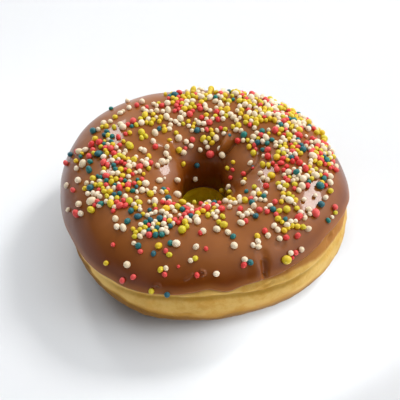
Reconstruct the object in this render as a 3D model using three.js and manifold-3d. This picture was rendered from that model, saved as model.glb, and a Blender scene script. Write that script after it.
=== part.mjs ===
// A ring doughnut with chocolate icing and round sugar sprinkles, in millimetres.
//
// The dough is a fat ring that lies on the plane z = 0 with its hole along +Z. The icing is a
// thin closed skin over its upper half, and the largest sprinkles are joined to that skin.
//
// Every surface is worked out from two angles:
//   around  - the angle round the hole, from +X towards +Y (the front is at 270 degrees);
//   section - the angle round the ring's cross-section: 0 at the outer side, 90 at the crown,
//             180 at the narrowest part of the hole and 270 underneath.

import * as THREE from 'three';
import { mergeVertices } from 'three/addons/utils/BufferGeometryUtils.js';
import Module from 'manifold-3d';

const wasm = await Module();
wasm.setup();

const DEGREE = Math.PI / 180;
const FULL_TURN = 2 * Math.PI;

// ---- Driving dimensions -------------------------------------------------------------------

const ringRadius = 26.3; // from the hole's axis to the middle of the dough
const halfWidth = 18.1; // half the width of the dough's cross-section
const halfHeight = 15.6; // half its height, before the underside is flattened
const flatDepth = 0.6; // how far the underside is pressed flat by resting on it
const squareness = 0.92; // 1 is an ellipse; a smaller value fills out its corners
const collarSize = 3; // how far the dough bulges into the hole, low down
const collarMiddle = 222 * DEGREE;
const collarReach = 26 * DEGREE;

const coatGap = 0.3; // clearance between the dough and the icing's inner face
const coatThickness = 1.2; // icing on the crown and the outer side
const throatThinning = 0.4; // how much thinner the icing is in the hole
const lipShare = 0.6; // thickness of the icing's very edge, as a share of the full one

const creaseDepth = 0.5; // of the crease that runs round the dough below the icing
const creaseWidth = 4 * DEGREE;

const sprinkleCount = 200;
const largestSprinkle = 1.3; // radius
const smallestSprinkle = 0.95; // radius of the last one; finer ones aren't solids
const sprinkleSpacing = 2.5; // least distance between two centres
const sprinkleSink = 0.45; // how deep each one sits in the icing, as a share of its radius
const sprinkleMargin = 6 * DEGREE; // bare icing along its lower edge

// The ring isn't quite round: each wave adds `size` to the outer radius, `count` times round.
const outlineWaves = [
  { count: 2, size: 1.0, crest: -23 * DEGREE },
  { count: 3, size: 0.9, crest: 10 * DEGREE },
  { count: 4, size: 0.9, crest: 55 * DEGREE },
];
const heightLean = 0.04; // the back stands higher than the front by this share
const sideShift = -0.4; // moves the uneven ring along X, so that its box is centred

// Values at every 30 degrees round the hole, in degrees of section, joined by smooth curves.
const edgeStations = [14, 8, 4, 8, 3, -2, -4, 8, 14.5, 21.5, 25, 31.5]; // the icing's lower edge
const creaseStations = [9, 4, 0, 4, -1, -6, -12, -2, 8, 13.5, 7, 13]; // the dough's crease
const scatterFrom = [52, 30, 37, 50, 68, 64, 52, 62, 76, 85, 82, 54]; // sprinkles start here
const scatterTo = [110, 117, 124, 128, 130, 116, 128, 120, 140, 140, 117, 102]; // and end here
const scatterSoftness = 7 * DEGREE; // over which they thin out at both ends
const throatEdge = 183 * DEGREE; // where the icing ends inside the hole

// A soft bump: its size, its middle and how far it reaches, in degrees around and of section.
function bump(size, around, section, aroundReach, sectionReach) {
  return {
    size,
    around: around * DEGREE,
    section: section * DEGREE,
    aroundReach: aroundReach * DEGREE,
    sectionReach: sectionReach * DEGREE,
  };
}

// Where the icing is thicker or thinner than elsewhere.
const coatBumps = [
  bump(1.1, 57, 130, 6, 8), // a finger over the hole's far right rim
  bump(1.7, 168, 154, 35, 13), // a shelf at the hole's left rim
  bump(1.9, 171, 141, 42, 18), // and the slope behind it
  bump(1.9, 146, 126, 11, 8), // with a knob
  bump(1.8, 15, 155, 30, 14), // a shelf at the hole's right rim
  bump(0.6, 22, 138, 22, 12), // and the slope behind it
  bump(-0.5, 22, 115, 18, 9), // a shallow hollow beside that slope
];

// The sprinkles fill this share of their band, more or less of it in some patches.
const scatterShare = 0.5;
const scatterPatches = [
  bump(0.5, 35, 78, 36, 28),
  bump(0.45, 28, 92, 12, 12),
  bump(-0.5, 60, 98, 9, 14),
  bump(0.4, 100, 92, 20, 16),
  bump(-0.5, 130, 64, 20, 16),
  bump(-0.45, 156, 116, 18, 14),
  bump(0.8, 204, 87, 22, 14),
  bump(0.45, 240, 100, 24, 14),
  bump(0.5, 332, 88, 18, 14),
  bump(-0.4, 2, 122, 22, 11),
  bump(-1, 334, 62, 7, 10),
  bump(-1, 150, 80, 9, 9),
];

// Large sprinkles that lie by themselves: degrees around, degrees of section and radius.
const loneSprinkles = [
  [305, 38, 1.4],
  [330, 57, 1.3],
  [202, 58, 1.3],
  [256, 71, 1.3],
  [257, 85, 1.3],
  [162, 97, 1.3],
  [148, 85, 1.2],
  [185, 50, 1.1],
  [198, 44, 1.1],
  [201, 37, 1.1],
  [206, 54, 1.1],
  [238, 40, 1.1],
  [248, 66, 1.1],
  [285, 66, 1.1],
  [336, 57, 1.1],
  [239, 60, 1],
  [278, 85, 1],
  [192, 144, 1],
  [76, 143, 1.3],
  [129, 134, 1],
  [124, 138, 1],
  [20, 117, 1],
  [333, 104, 1],
  [320, 108, 1],
  [8, 106, 1.1],
  [54, 140, 1],
  [154, 59, 1.1],
  [148, 65, 1],
  [160, 66, 1],
  [164, 64, 1],
  [124, 70, 1],
];

// ---- Numbers for the meshes ---------------------------------------------------------------

const stepsAround = 60;
const coveredSteps = 11; // rows of the section that lie under the icing
const creaseSteps = 2; // rows between the crease and the icing's edge
const bellySteps = 5; // rows between the flat underside and the crease
const flatSteps = 2; // rows across the flat underside
const throatSteps = 4; // rows between the hole and the flat underside
const flatHalfAngle = 16 * DEGREE;
const underside = 270 * DEGREE;

const doughMaterial = new THREE.MeshStandardMaterial({
  color: 0xb48a48,
  roughness: 0.7,
  metalness: 0,
});
const icingMaterial = new THREE.MeshStandardMaterial({
  color: 0x7e4e2e,
  roughness: 0.3,
  metalness: 0,
});

// ---- Small helpers ------------------------------------------------------------------------

// A smooth closed curve through values spaced evenly round the hole (Catmull-Rom).
function roundTheRing(values, around) {
  const turns = around / FULL_TURN;
  const place = (turns - Math.floor(turns)) * values.length;
  const index = Math.floor(place);
  const part = place - index;
  const [before, start, end, after] = [-1, 0, 1, 2].map(
    (step) => values[(index + step + values.length) % values.length],
  );
  const slope = end - before;
  const bend = 2 * before - 5 * start + 4 * end - after;
  const twist = 3 * start - before - 3 * end + after;
  return 0.5 * (2 * start + slope * part + bend * part ** 2 + twist * part ** 3);
}

// A hill of height 1 at `centre`, falling off over `width`, on an angle that wraps round.
function hill(angle, centre, width) {
  const away = Math.atan2(Math.sin(angle - centre), Math.cos(angle - centre));
  return Math.exp(-((away / width) ** 2));
}

// Rises smoothly from 0 to 1 while `value` goes from `low` to `high`.
function ramp(value, low, high) {
  const part = Math.min(Math.max((value - low) / (high - low), 0), 1);
  return part * part * (3 - 2 * part);
}

// A cosine or sine whose corners are filled out by the squareness.
function filledOut(value) {
  return Math.sign(value) * Math.abs(value) ** squareness;
}

// Repeatable random numbers from 0 to 1 (the minimal standard generator).
let randomState = 4585;
function random() {
  randomState = (randomState * 16807) % 2147483647;
  return randomState / 2147483647;
}

// ---- The two surfaces ---------------------------------------------------------------------

function icingEdge(around) {
  return roundTheRing(edgeStations, around) * DEGREE;
}

function doughCrease(around) {
  return roundTheRing(creaseStations, around) * DEGREE;
}

// The point of the dough's surface at two angles, moved outwards by `lift`.
function ringPoint(around, section, lift) {
  const across = Math.cos(section);
  const up = Math.sin(section);
  const wave = outlineWaves.reduce(
    (sum, { count, size, crest }) => sum + size * Math.cos(count * (around - crest)),
    0,
  );
  const crease = creaseDepth * hill(section, doughCrease(around), creaseWidth);
  const outwards = lift - crease;
  const outerShare = 0.5 + 0.5 * across;
  const collar = collarSize * hill(section, collarMiddle, collarReach);
  const ellipse = ringRadius + halfWidth * filledOut(across);
  const radius = ellipse - collar + wave * outerShare + outwards * across;
  const lean = 1 + heightLean * Math.sin(around);
  const height = halfHeight * (1 + filledOut(up)) * lean - flatDepth + outwards * up;
  return new THREE.Vector3(
    radius * Math.cos(around) + sideShift,
    radius * Math.sin(around),
    Math.max(height, 0),
  );
}

// What one soft bump adds at a place.
function bumpAt({ size, ...bump }, around, section) {
  const share = hill(around, bump.around, bump.aroundReach);
  return size * share * hill(section, bump.section, bump.sectionReach);
}

// How far the icing's outer face stands off the dough: its thickness, with its soft bumps.
function coatLift(around, section) {
  const thinning = throatThinning * ramp(section, 110 * DEGREE, 170 * DEGREE);
  return coatBumps.reduce(
    (sum, coatBump) => sum + bumpAt(coatBump, around, section),
    coatGap + coatThickness - thinning,
  );
}

// ---- Grids --------------------------------------------------------------------------------

// A closed surface from a grid whose rows and columns both meet themselves again.
// pointAt(row, around) gives its points; rows run round the section, outer side to hole.
function ringGeometry(rowCount, pointAt) {
  const positions = [];
  const faces = [];
  for (let row = 0; row < rowCount; row++) {
    for (let column = 0; column < stepsAround; column++) {
      const around = (column / stepsAround) * FULL_TURN;
      positions.push(...pointAt(row, around).toArray());
      const nextRow = (row + 1) % rowCount;
      const nextColumn = (column + 1) % stepsAround;
      const corner = row * stepsAround + column;
      const beside = row * stepsAround + nextColumn;
      const above = nextRow * stepsAround + column;
      const across = nextRow * stepsAround + nextColumn;
      faces.push(corner, beside, across, corner, across, above);
    }
  }
  const geometry = new THREE.BufferGeometry();
  geometry.setAttribute('position', new THREE.Float32BufferAttribute(positions, 3));
  geometry.setIndex(faces);
  return geometry;
}

// `steps` section angles that go evenly from `from` to `to`, without the last one.
function evenRows(from, to, steps) {
  return Array.from({ length: steps }, (_, step) => from + ((to - from) * step) / steps);
}

// ---- Dough --------------------------------------------------------------------------------

// Its rows follow the icing's edge, so that both pieces turn the same corners.
function doughRows(around) {
  const edge = icingEdge(around);
  const flatStart = underside - flatHalfAngle;
  const flatEnd = underside + flatHalfAngle;
  const crease = doughCrease(around) + FULL_TURN;
  return [
    ...evenRows(edge, throatEdge, coveredSteps),
    ...evenRows(throatEdge, flatStart, throatSteps),
    ...evenRows(flatStart, flatEnd, flatSteps),
    ...evenRows(flatEnd, crease, bellySteps),
    ...evenRows(crease, edge + FULL_TURN, creaseSteps),
  ];
}

const doughRowCount = coveredSteps + throatSteps + flatSteps + bellySteps + creaseSteps;
const doughGeometry = ringGeometry(doughRowCount, (row, around) =>
  ringPoint(around, doughRows(around)[row], 0),
);
const dough = new THREE.Mesh(doughGeometry, doughMaterial);
dough.name = 'dough';

// ---- Icing --------------------------------------------------------------------------------

// The steps of its rows: up the outer face from the edge (0) to the hole, with one more close
// to the edge, and back along the inner face.
const outerSteps = [0, 0.25, ...evenRows(1, coveredSteps, coveredSteps - 1), coveredSteps];
const innerSteps = evenRows(coveredSteps, -1, coveredSteps + 1);

// The outer face's first and last rows are thin, which rounds the lip.
function icingPoint(row, around) {
  const isOuter = row < outerSteps.length;
  const step = isOuter ? outerSteps[row] : innerSteps[row - outerSteps.length];
  const edge = icingEdge(around);
  const section = edge + ((throatEdge - edge) * step) / coveredSteps;
  if (!isOuter) {
    return ringPoint(around, section, coatGap);
  }
  const isLip = step === 0 || step === coveredSteps;
  const thickness = (coatLift(around, section) - coatGap) * (isLip ? lipShare : 1);
  return ringPoint(around, section, coatGap + thickness);
}

const coatGeometry = ringGeometry(outerSteps.length + innerSteps.length, icingPoint);

// ---- Sprinkles ----------------------------------------------------------------------------

// How likely a sprinkle is at a place, from 0 to 1: a patchy band round the crown.
function scatterDensity(around, section) {
  const from = roundTheRing(scatterFrom, around) * DEGREE;
  const to = roundTheRing(scatterTo, around) * DEGREE;
  const started = ramp(section, from - scatterSoftness, from + scatterSoftness);
  const ended = ramp(section, to - scatterSoftness, to + scatterSoftness);
  const share = scatterPatches.reduce(
    (sum, patch) => sum + bumpAt(patch, around, section),
    scatterShare,
  );
  return started * (1 - ended) * Math.min(Math.max(share, 0), 1);
}

// A ball's place when it sits in the icing at two angles.
function sprinkleAt(around, section, radius) {
  const stand = coatLift(around, section) + radius * (1 - sprinkleSink);
  return { centre: ringPoint(around, section, stand), radius };
}

// Places for the sprinkles: the lone ones, then random ones from the largest to the smallest.
// Each draw is kept where the density allows it and no earlier sprinkle is near.
function sprinklePlaces() {
  const places = loneSprinkles.map(([around, section, radius]) =>
    sprinkleAt(around * DEGREE, section * DEGREE, radius),
  );
  while (places.length < sprinkleCount) {
    const around = random() * FULL_TURN;
    const section = 135 * DEGREE * random();
    const chance = random();
    const left = 1 - places.length / sprinkleCount;
    const radius = smallestSprinkle + (largestSprinkle - smallestSprinkle) * left ** 2;
    const place = sprinkleAt(around, section, radius);
    const fromAxis = Math.hypot(place.centre.x, place.centre.y);
    const wanted = (scatterDensity(around, section) * fromAxis) / (ringRadius + halfWidth);
    const onIcing = section > icingEdge(around) + sprinkleMargin;
    const apart = places.every(
      ({ centre }) => centre.distanceTo(place.centre) > sprinkleSpacing,
    );
    if (chance < wanted && onIcing && apart) {
      places.push(place);
    }
  }
  return places;
}

// A ball of twenty flat faces, which is round enough at this size.
function sprinkleGeometry({ centre, radius }) {
  const geometry = new THREE.IcosahedronGeometry(radius, 0);
  geometry.translate(centre.x, centre.y, centre.z);
  return geometry;
}

// ---- Joining ------------------------------------------------------------------------------

function toSolid(geometry) {
  const bare = geometry.clone();
  bare.deleteAttribute('normal');
  bare.deleteAttribute('uv');
  const merged = mergeVertices(bare);
  const mesh = new wasm.Mesh({
    numProp: 3,
    vertProperties: new Float32Array(merged.attributes.position.array),
    triVerts: new Uint32Array(merged.index.array),
  });
  return new wasm.Manifold(mesh);
}

function toGeometry(solid) {
  const mesh = solid.getMesh();
  const geometry = new THREE.BufferGeometry();
  geometry.setAttribute('position', new THREE.BufferAttribute(mesh.vertProperties, 3));
  geometry.setIndex(new THREE.BufferAttribute(mesh.triVerts, 1));
  return geometry;
}

let icingSolid = toSolid(coatGeometry);
for (const place of sprinklePlaces()) {
  icingSolid = icingSolid.add(toSolid(sprinkleGeometry(place)));
}
const icing = new THREE.Mesh(toGeometry(icingSolid), icingMaterial);
icing.name = 'icing';

// ---- The doughnut -------------------------------------------------------------------------

const doughnut = new THREE.Group();
doughnut.add(dough, icing);

export default doughnut;
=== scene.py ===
# %% [markdown]
# # A chocolate-iced ring doughnut with sugar sprinkles
#
# This notebook dresses a simple solid model of a doughnut: a ring of dough and a thin skin of
# icing. The solids give the size and the place of everything. Here each of them is replaced by
# a finer surface with a real finish, and the icing is strewn with hundreds of sugar balls.
#
# Lengths in this file are in millimetres up to the moment when a mesh is made, because that is
# how a baker's ruler reads. Blender itself works in metres.

# %% Load the solid model
import math

import bpy
import numpy as np
from mathutils import Matrix, Vector


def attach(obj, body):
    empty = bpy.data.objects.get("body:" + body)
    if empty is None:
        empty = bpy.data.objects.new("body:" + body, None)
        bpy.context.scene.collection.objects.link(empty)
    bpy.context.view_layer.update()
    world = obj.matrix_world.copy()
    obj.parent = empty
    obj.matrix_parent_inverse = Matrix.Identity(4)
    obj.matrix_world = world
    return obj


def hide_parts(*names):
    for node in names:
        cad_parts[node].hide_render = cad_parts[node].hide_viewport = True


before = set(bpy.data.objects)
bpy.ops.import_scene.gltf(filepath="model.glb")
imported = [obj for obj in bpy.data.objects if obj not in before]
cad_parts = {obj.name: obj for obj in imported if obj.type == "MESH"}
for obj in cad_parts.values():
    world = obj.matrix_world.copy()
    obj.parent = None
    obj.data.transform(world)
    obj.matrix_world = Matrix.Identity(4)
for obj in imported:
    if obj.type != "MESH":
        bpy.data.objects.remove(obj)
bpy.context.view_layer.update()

MM = 0.001
DEGREE = math.pi / 180
FULL_TURN = 2 * math.pi

# %% [markdown]
# ## The camera
#
# The picture looks down on the doughnut from 45 degrees with a long lens, which keeps the near
# side from bulging. The lens and the distance go together: twice the distance with twice the
# lens gives the same size and a flatter picture.
#
# The middle of the doughnut lies a little right of the middle of the picture, so the camera
# stands a little to its left. The camera is also rolled by a little over half a degree.

# %% Place the camera
CAMERA_ELEVATION = 45 * DEGREE
CAMERA_DISTANCE = 430
CAMERA_LENS = 122.1
CAMERA_ROLL = -0.64 * DEGREE
AIM = Vector((-1.4, 0, 16.1))

towards_camera = Vector((0, -math.cos(CAMERA_ELEVATION), math.sin(CAMERA_ELEVATION)))
camera_data = bpy.data.cameras.new("camera")
camera_data.lens = CAMERA_LENS
camera_data.clip_start = 0.01
camera = bpy.data.objects.new("camera", camera_data)
bpy.context.collection.objects.link(camera)
turned = (-towards_camera).to_track_quat("-Z", "Y").to_matrix().to_4x4()
place = Matrix.Translation((AIM + towards_camera * CAMERA_DISTANCE) * MM)
camera.matrix_world = place @ turned @ Matrix.Rotation(CAMERA_ROLL, 4, "Z")
bpy.context.scene.camera = camera
print("camera at", tuple(round(c, 3) for c in camera.location))

# %% [markdown]
# ## Two angles describe the whole doughnut
#
# Every point of a ring can be named by two angles. `around` goes round the hole, and `section`
# goes round the ring's cross-section: 0 is the outer side, 90 the crown, 180 the narrowest part
# of the hole and 270 the underside. A surface is then a function of these two angles, and numpy
# can work it out for a whole grid of them at once.
#
# The driving sizes are those of the solid model, so both have the same form.

# %% Driving sizes, in millimetres
RING_RADIUS = 26.3  # from the hole's axis to the middle of the dough
HALF_WIDTH = 18.1  # half the width of the dough's cross-section
HALF_HEIGHT = 15.6  # half its height, before the underside is flattened
FLAT_DEPTH = 0.6  # how far the underside is pressed flat
SQUARENESS = 0.92  # 1 is an ellipse; a smaller value fills out its corners
COLLAR = (3, 222 * DEGREE, 26 * DEGREE)  # a bulge of dough low in the hole: size, middle, reach
OUTLINE_WAVES = [(2, 1.0, -23), (3, 0.9, 10), (4, 0.9, 55)]  # how many, size, crest in degrees
HEIGHT_LEAN = 0.04  # the back stands higher than the front by this share
SIDE_SHIFT = -0.4

COAT_LIFT = 1.5  # the icing's outer face above the dough
THROAT_THINNING = 0.4  # how much thinner the icing is in the hole
THROAT_EDGE = 183 * DEGREE  # where the icing ends inside the hole

# %% Values that change smoothly round the ring
# Each list holds a value for every 30 degrees round the hole, in degrees of section.
EDGE_STATIONS = [14, 8, 4, 8, 3, -2, -4, 8, 14.5, 21.5, 25, 31.5]  # the icing's lower edge
CREASE_STATIONS = [9, 4, 0, 4, -1, -6, -12, -2, 8, 13.5, 7, 13]  # the dough's crease
SCATTER_FROM = [52, 30, 37, 50, 68, 64, 52, 62, 76, 85, 82, 54]  # sprinkles start here
SCATTER_TO = [110, 117, 124, 128, 130, 116, 128, 120, 140, 140, 117, 102]  # and end here


def round_the_ring(values, around):
    """A smooth closed curve through evenly spaced values (the Catmull-Rom formula)."""
    values = np.asarray(values, float)
    place = (around / FULL_TURN) % 1 * len(values)
    index = np.floor(place).astype(int)
    part = place - index
    before, start, end, after = [values[(index + step) % len(values)] for step in (-1, 0, 1, 2)]
    slope = end - before
    bend = 2 * before - 5 * start + 4 * end - after
    twist = 3 * start - before - 3 * end + after
    return 0.5 * (2 * start + slope * part + bend * part**2 + twist * part**3)


def hill(angle, centre, width):
    """A bump of height 1: e to the power of minus (distance / width) squared, wrapping round."""
    away = np.arctan2(np.sin(angle - centre), np.cos(angle - centre))
    return np.exp(-((away / width) ** 2))


def ramp(value, low, high):
    """Rises smoothly from 0 at `low` to 1 at `high`: 3t squared minus 2t cubed."""
    part = np.clip((value - low) / (high - low), 0, 1)
    return part * part * (3 - 2 * part)


FRONT = 270 * DEGREE
print("icing edge in front, degrees:", round(float(round_the_ring(EDGE_STATIONS, FRONT)), 1))

# %% [markdown]
# ## Unevenness without a picture
#
# Food is never smooth or regular. A sum of sine waves that run in random directions looks like
# the soft lumps of risen dough, and it can be worked out for a whole array of points at once.
# The random directions come from a seed, so that the doughnut is the same at each run.

# %% Soft random lumps
def lumps(points, wavelength, seed, count=24):
    """A sum of `count` sine waves of about that wavelength in random directions, scaled so that
    its usual size is 1."""
    random = np.random.default_rng(seed)
    directions = random.normal(size=(count, 3))
    directions /= np.linalg.norm(directions, axis=1, keepdims=True)
    lengths = wavelength * random.uniform(0.7, 1.5, count)
    phases = random.uniform(0, FULL_TURN, count)
    total = np.zeros(points.shape[:-1])
    for direction, length, phase in zip(directions, lengths, phases):
        total += np.sin(points @ direction * (FULL_TURN / length) + phase)
    return total * math.sqrt(2 / count)


some_points = np.random.default_rng(1).uniform(0, 100, (500, 3))
print("usual size of the lumps:", round(float(lumps(some_points, 9, 1).std()), 2))

# %% [markdown]
# ## The form of the ring
#
# The cross-section is an ellipse with slightly filled-out corners: the cosine and the sine are
# raised to a power just below 1. The outline isn't a circle either. Three waves, two, three and
# four times round, each push its outer side in and out by a millimetre or less, and the back
# stands a little higher than the front.

# %% The ring's surface
def filled_out(value):
    """A cosine or sine with its corners filled out: its size to the power of the squareness."""
    return np.sign(value) * np.abs(value) ** SQUARENESS


def ring_point(around, section, lift):
    """The surface of the bare ring, moved outwards by `lift`. The radius is the ring's radius
    plus the half width times the filled-out cosine, less the collar, plus the outline's waves.
    The height is the half height times one plus the filled-out sine, times the lean, less the
    flat depth, and never below zero."""
    across, up = np.cos(section), np.sin(section)
    wave = sum(size * np.cos(count * (around - crest * DEGREE)) for count, size, crest in OUTLINE_WAVES)
    outer_share = 0.5 + 0.5 * across
    collar_size, *collar_place = COLLAR
    ellipse = RING_RADIUS + HALF_WIDTH * filled_out(across) - collar_size * hill(section, *collar_place)
    radius = ellipse + wave * outer_share + lift * across
    lean = 1 + HEIGHT_LEAN * np.sin(around)
    height = HALF_HEIGHT * (1 + filled_out(up)) * lean - FLAT_DEPTH + lift * up
    points = [radius * np.cos(around) + SIDE_SHIFT, radius * np.sin(around), np.maximum(height, 0)]
    return np.stack(points, axis=-1)


print("crown of the dough in front, mm:", ring_point(FRONT, 90 * DEGREE, 0).round(1))

# %% Marks on the surface, and the icing's edge
def stroke(base, path, reach):
    """1 along a path on the ring, falling smoothly to 0 at `reach` millimetres from it. The path
    is a list of places, each with its two angles in degrees. The distance is the shortest one to
    any of the straight pieces between them."""
    corners = np.array([ring_point(around * DEGREE, section * DEGREE, 0) for around, section in path])
    nearest = np.full(base.shape[:-1], np.inf)
    for start, end in zip(corners, corners[1:] if len(corners) > 1 else corners):
        along = end - start
        part = np.clip((base - start) @ along / max(along @ along, 1e-9), 0, 1)
        nearest = np.minimum(nearest, np.linalg.norm(base - start - part[..., None] * along, axis=-1))
    return 1 - ramp(nearest, 0, reach)


def icing_edge(around):
    """Where the icing ends on the outer side: the stations, with a fine wobble, and in front a
    notch with a drip beside it."""
    wobble = 0.5 * np.sin(11 * around + 1) + 0.4 * np.sin(19 * around) + 0.25 * np.sin(34 * around + 2)
    notch = 2.4 * hill(around, 271 * DEGREE, 3.5 * DEGREE)
    drip = 2 * hill(around, 279 * DEGREE, 4 * DEGREE)
    return (round_the_ring(EDGE_STATIONS, around) + wobble + notch - drip) * DEGREE


print("icing edge in the notch, degrees:", round(float(icing_edge(271 * DEGREE)) / DEGREE, 1))

# %% [markdown]
# ## Putting a grid of points into a mesh
#
# A ring's grid has no border: its last row meets the first one again, and so does its last
# column. Each face joins a point with the next one in its row and in its column. The faces are
# worked out as an array of numbers too, and `foreach_set` copies each array into the mesh in
# one go, which is far quicker than adding faces one by one.

# %% Mesh from arrays
def fill_mesh(name, points, quads=None, triangles=None):
    """A smooth-shaded mesh object from arrays: points in mm (n, 3), and faces as corner
    numbers, four or three to a face."""
    groups = [group for group in (quads, triangles) if group is not None]
    corners = np.concatenate([group.ravel() for group in groups])
    sizes = np.concatenate([np.full(len(group), group.shape[1]) for group in groups])
    mesh = bpy.data.meshes.new(name)
    mesh.vertices.add(len(points))
    mesh.vertices.foreach_set("co", (points * MM).astype(np.float32).ravel())
    mesh.loops.add(len(corners))
    mesh.loops.foreach_set("vertex_index", corners.astype(np.int32))
    mesh.polygons.add(len(sizes))
    mesh.polygons.foreach_set("loop_start", (np.cumsum(sizes) - sizes).astype(np.int32))
    mesh.polygons.foreach_set("use_smooth", np.ones(len(sizes), dtype=bool))
    mesh.update(calc_edges=True)
    mesh.validate()
    piece = bpy.data.objects.new(name, mesh)
    bpy.context.collection.objects.link(piece)
    print(f"{name}: {len(points)} points, {len(sizes)} faces")
    return piece


def ring_quads(rows, columns):
    """Corner numbers of the faces of a grid that closes on itself both ways."""
    number = np.arange(rows * columns).reshape(rows, columns)
    beside = np.roll(number, -1, axis=1)
    above = np.roll(number, -1, axis=0)
    across = np.roll(beside, -1, axis=0)
    return np.stack([number, beside, across, above], axis=-1).reshape(-1, 4)


def store(piece, name, values):
    """Keeps one number for each point of the mesh, which a material can read by its name."""
    attribute = piece.data.attributes.new(name, "FLOAT", "POINT")
    attribute.data.foreach_set("value", np.asarray(values, np.float32).ravel())


print("faces of a closed grid of 3 by 4 points:", len(ring_quads(3, 4)))

# %% [markdown]
# ## The dough
#
# A raised doughnut is fried on one side and then on the other, floating in the oil. That leaves
# two browned faces and a pale belt between them. Just under the icing the crust rolls out into
# a soft lip, with a crease below it where the two halves of the crust met.
#
# The rows of the grid lie closer together where the crust shows than under the icing.

# %% Dough: a grid of angles
DOUGH_COLUMNS = 400
DOUGH_COVERED_ROWS = 30
DOUGH_BARE_ROWS = 170


def dough_grid():
    """Both angles for each point of the dough, in rows that follow the icing's edge."""
    around = np.arange(DOUGH_COLUMNS) / DOUGH_COLUMNS * FULL_TURN
    edge = icing_edge(around)
    covered = np.linspace(0, 1, DOUGH_COVERED_ROWS, endpoint=False)[:, None]
    bare = np.linspace(0, 1, DOUGH_BARE_ROWS, endpoint=False)[:, None]
    covered_rows = edge + (THROAT_EDGE - edge) * covered
    bare_rows = THROAT_EDGE + (edge + FULL_TURN - THROAT_EDGE) * bare
    section = np.concatenate([covered_rows, bare_rows])
    return np.broadcast_to(around, section.shape), section


around, section = dough_grid()
print("rows and columns of the dough:", section.shape)

# %% Dough: relief
CREASE_DEPTH = 0.8
CREASE_REACH = 3.3 * DEGREE
CREASE_STRENGTH = [0.3, 0.5, 0.7, 0.5, 0.3, 0.2, 0.2, 0.3, 0.8, 1.0, 1.1, 0.4]
ROLL_HEIGHT = 0.45

# Marks in the crust: their path (around and section in degrees), their reach and height in mm.
CRUST_STROKES = [
    ([(292, 15)], 0.7, -1.0),
    ([(294.5, 15), (295.5, 16)], 0.7, -0.8),
    ([(297, 16), (298, 18)], 0.6, -0.6),
    ([(329, 24.5), (331, 25.5)], 1.0, -0.9),
    ([(262, -8), (266, -7)], 0.8, -0.3),
    ([(265, -4), (268, -5)], 0.7, -0.3),
    ([(271, -6), (272, -2)], 0.8, -0.35),
    ([(277, -3), (281, -4)], 0.8, -0.3),
    ([(284, -6), (286, -4)], 0.7, -0.3),
    ([(296, 9), (310, 14)], 1.6, -0.35),
    ([(286, 13), (292, 17), (306, 22)], 1.2, 0.25),
]


def crust_relief(around, section, base):
    """How far the crust stands off the plain ring: large and small lumps, minus the crease,
    plus the roll above it, plus the marks."""
    below = section - round_the_ring(CREASE_STATIONS, around) * DEGREE
    strength = round_the_ring(CREASE_STRENGTH, around)
    crease = CREASE_DEPTH * strength * hill(below, 0, CREASE_REACH)
    roll = ROLL_HEIGHT * strength * hill(below, 6.5 * DEGREE, 4 * DEGREE)
    marks = sum(height * stroke(base, path, reach) for path, reach, height in CRUST_STROKES)
    soft = 0.12 * lumps(base, 16, 3) + 0.05 * lumps(base, 5, 4) + 0.025 * lumps(base, 2, 5)
    return soft - crease + roll + marks


base = ring_point(around, section, 0)
dough_points = ring_point(around, section, crust_relief(around, section, base))
dough_ring = fill_mesh("dough_ring", dough_points.reshape(-1, 3), ring_quads(*around.shape))

# %% [markdown]
# The dough's colours follow the same two angles, so their fields are worked out here and kept
# with the points: how far the crust is fried, from above and from below, whether a point lies in
# the hole or on a paler side, how close it is to the crease, and how far below the icing. The
# hole's yellow is painted brighter as painted light. The crease is painted darker as painted
# shade, and so is the band just under the icing, which is partly toasted crust too. The
# material only has to turn these numbers into colours.

# %% Dough: fields for its colours
# Like the other stations, in degrees of section.
FRIED_BELOW = [-2, -12, -8, -10, -8, -6, -4, -2, -2, -3, -2, -2]  # the crust browns below these
FRIED_REACH = [18, 14, 12, 12, 12, 8, 6, 6, 8, 22, 24, 22]  # over so many degrees
FRIED_ABOVE = [10, 14, 14, 14, 12, 10, 8, 16, 20, 25, 21, 18]  # and it browns above these
FRIED_WAVINESS = 1.6 * DEGREE  # how far the browned borders wander
CREASE_SHADE_REACH = 4.4 * DEGREE
PALE_PLACES = [(1, 205, 32), (0.35, 320, 9)]  # strength, middle and reach in degrees around


def wrapped(angle):
    """The same angle between minus and plus half a turn."""
    return np.arctan2(np.sin(angle), np.cos(angle))


outside = wrapped(section)
wavy = lumps(base, 9, 6) * FRIED_WAVINESS
low = round_the_ring(FRIED_BELOW, around) * DEGREE + wavy
high = round_the_ring(FRIED_ABOVE, around) * DEGREE + wavy
fried = 1 - ramp(outside, low - round_the_ring(FRIED_REACH, around) * DEGREE, low + 2 * DEGREE)
fried_above = ramp(outside, high - 4 * DEGREE, high + 5 * DEGREE)
# Where the hole is: the crust there isn't fried, and its yellow is painted brighter as painted light.
in_hole = ramp(-np.cos(section), 0, 0.5)
# Painted shade along the crease: how near each point lies to it, for the darker olive there.
crease_middle = round_the_ring(CREASE_STATIONS, around) * DEGREE
crease_shade = round_the_ring(CREASE_STRENGTH, around) * hill(section, crease_middle, CREASE_SHADE_REACH)
pale_hills = [size * hill(around, middle * DEGREE, reach * DEGREE) for size, middle, reach in PALE_PLACES]
pale_side = sum(pale_hills)
store(dough_ring, "fried", fried * (1 - in_hole))
store(dough_ring, "fried_above", fried_above * (1 - in_hole))
store(dough_ring, "in_hole", in_hole)
store(dough_ring, "pale_side", pale_side)
store(dough_ring, "crease", crease_shade)
store(dough_ring, "below_icing", (icing_edge(around) - outside) / DEGREE)
print("share of the dough's points that are browned:", round(float((fried > 0.5).mean()), 2))

# %% [markdown]
# ## The icing
#
# The top of the doughnut was dipped in warm chocolate icing, which ran a little and set. It is
# one closed skin: an outer face, a rounded lip, and an inner face that sticks into the crust.
# The rows crowd together at the lip, where the face turns through a quarter circle in one
# millimetre, and the columns crowd together in front, where the icing has fine marks.

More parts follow.
